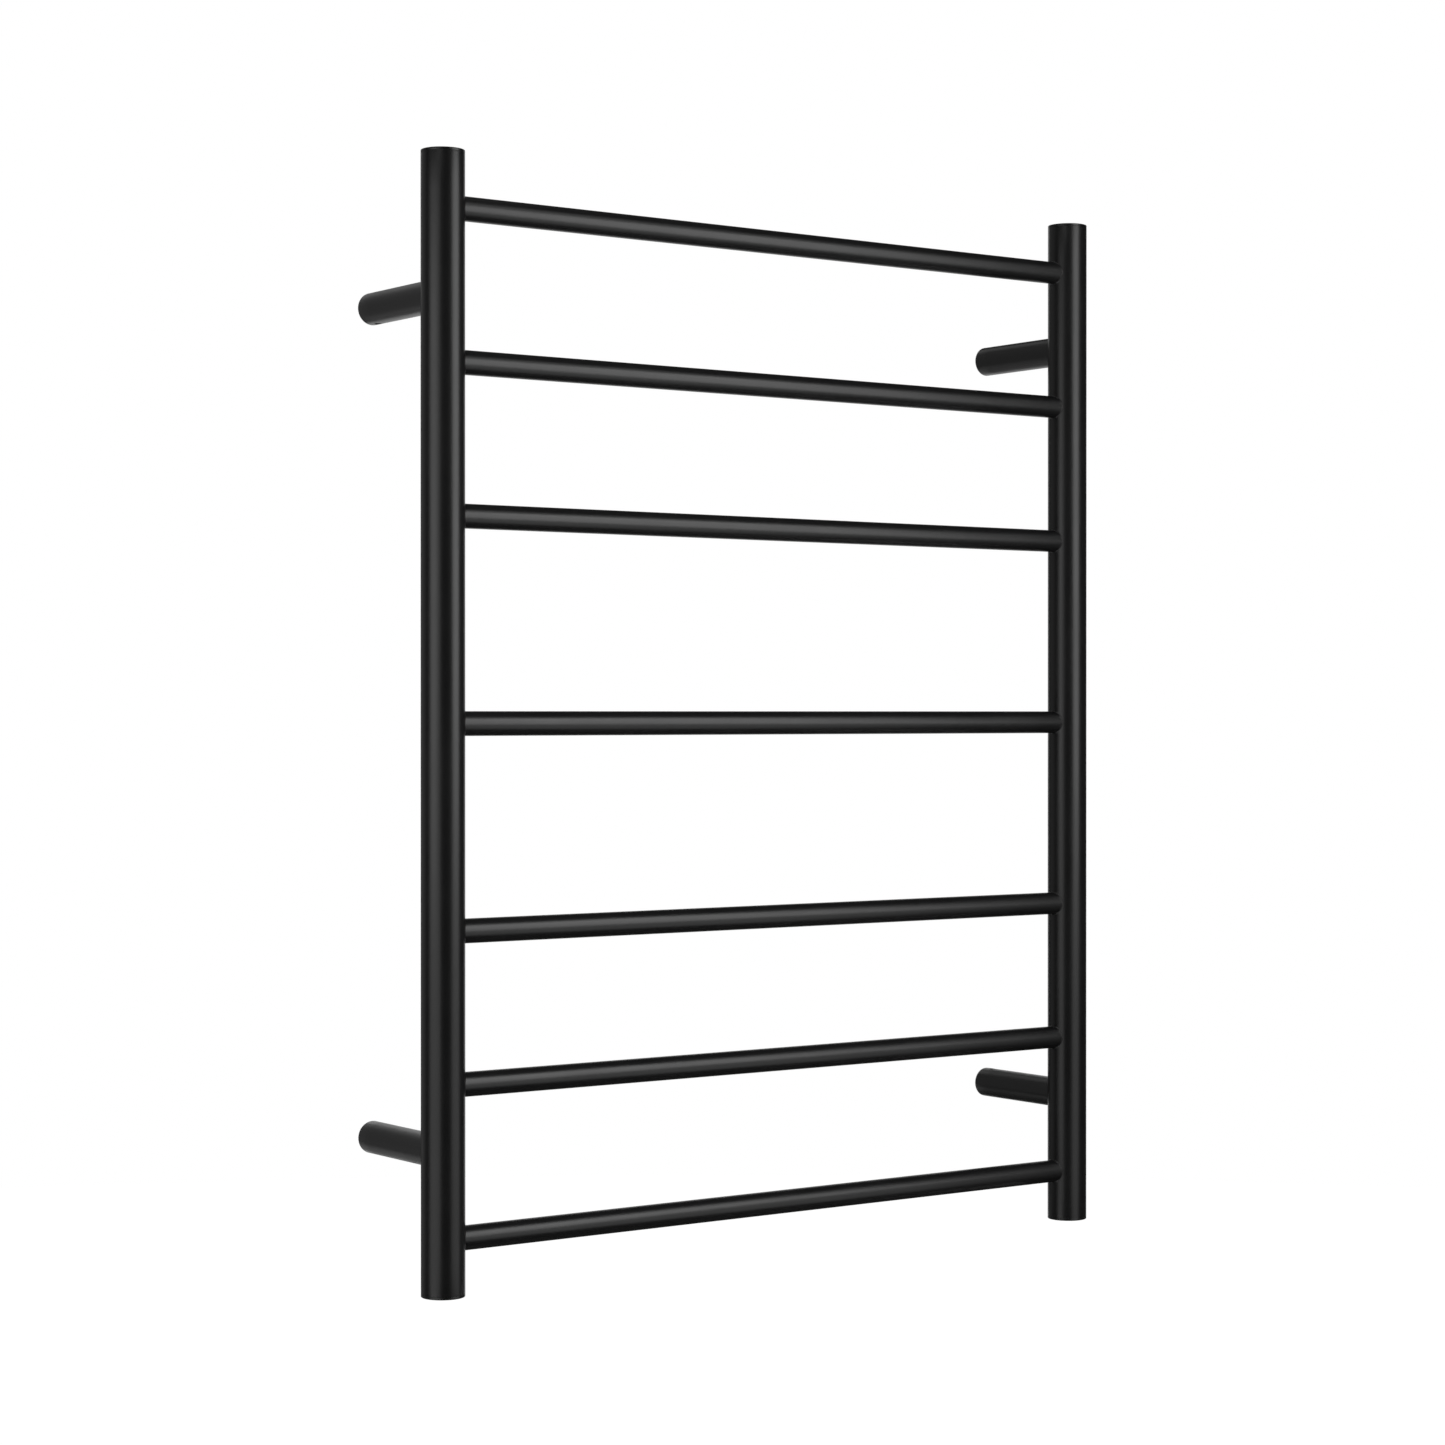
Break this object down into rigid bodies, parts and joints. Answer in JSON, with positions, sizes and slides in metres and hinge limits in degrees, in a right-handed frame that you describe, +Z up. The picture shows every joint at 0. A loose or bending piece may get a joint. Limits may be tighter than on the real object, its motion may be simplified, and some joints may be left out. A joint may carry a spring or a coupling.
{
  "type": "towel warmer rack",
  "caption": "Wall-mounted electric towel warmer: round black posts joined by horizontal bars, on standoffs that slide over wall bosses and are clamped by grub screws.",
  "frame": {"origin": "on the wall plane, at the centre of the four fixing holes", "axes": "+Y into the wall, +Z up, +X to the right of a person facing the rack; the front faces -Y"},
  "size_m": [0.632, 0.12, 0.825],
  "materials": {
    "coated_steel": "satin black powder coat",
    "boss_aluminium": "turned and milled",
    "black_screw_steel": "black oxide",
    "silicone_sheath": "matt silicone",
    "shrink_tube": "matt shrunk tube",
    "grommet_rubber": "matt rubber",
    "zinc_plated_steel": "bright zinc",
    "terminal_brass": "stamped",
    "earth_insulation": "smooth"
  },
  "bodies": {
    "wall_bosses": {"wall_boss_left_top": "boss_aluminium", "wall_boss_left_bottom": "boss_aluminium", "wall_boss_right_top": "boss_aluminium", "wall_boss_right_bottom": "boss_aluminium"},
    "rack": {"post_left": "coated_steel", "post_right": "coated_steel", "end_cap_left_top": "coated_steel", "end_cap_left_bottom": "coated_steel", "end_cap_right_top": "coated_steel", "end_cap_right_bottom": "coated_steel", "bar_1": "coated_steel", "bar_2": "coated_steel", "bar_3": "coated_steel", "bar_4": "coated_steel", "bar_5": "coated_steel", "bar_6": "coated_steel", "bar_7": "coated_steel", "standoff_left_top": "coated_steel", "standoff_left_bottom": "coated_steel", "standoff_right_top": "coated_steel", "standoff_right_bottom": "coated_steel", "heating_cable": "silicone_sheath", "cable_end_seal": "shrink_tube", "splice_sleeve": "shrink_tube", "cable_grommet": "grommet_rubber", "earth_stud": "zinc_plated_steel", "earth_lug": "terminal_brass", "earth_washer": "zinc_plated_steel", "earth_nut": "zinc_plated_steel", "earth_wire": "earth_insulation"},
    "grub_left_top": {"grub_screw_left_top": "black_screw_steel"},
    "grub_left_bottom": {"grub_screw_left_bottom": "black_screw_steel"},
    "grub_right_top": {"grub_screw_right_top": "black_screw_steel"},
    "grub_right_bottom": {"grub_screw_right_bottom": "black_screw_steel"}
  },
  "joints": [
    {"name": "rack_slide", "type": "slide", "parent": "wall_bosses", "child": "rack", "axis": [0, -1, 0], "range_m": [0, 0.03]},
    {"name": "grub_left_top_travel", "type": "slide", "parent": "rack", "child": "grub_left_top", "axis": [0, 0, -1], "range_m": [0, 0.0024]},
    {"name": "grub_left_bottom_travel", "type": "slide", "parent": "rack", "child": "grub_left_bottom", "axis": [0, 0, -1], "range_m": [0, 0.0024]},
    {"name": "grub_right_top_travel", "type": "slide", "parent": "rack", "child": "grub_right_top", "axis": [0, 0, 1], "range_m": [0, 0.0024]},
    {"name": "grub_right_bottom_travel", "type": "slide", "parent": "rack", "child": "grub_right_bottom", "axis": [0, 0, 1], "range_m": [0, 0.0024]}
  ]
}
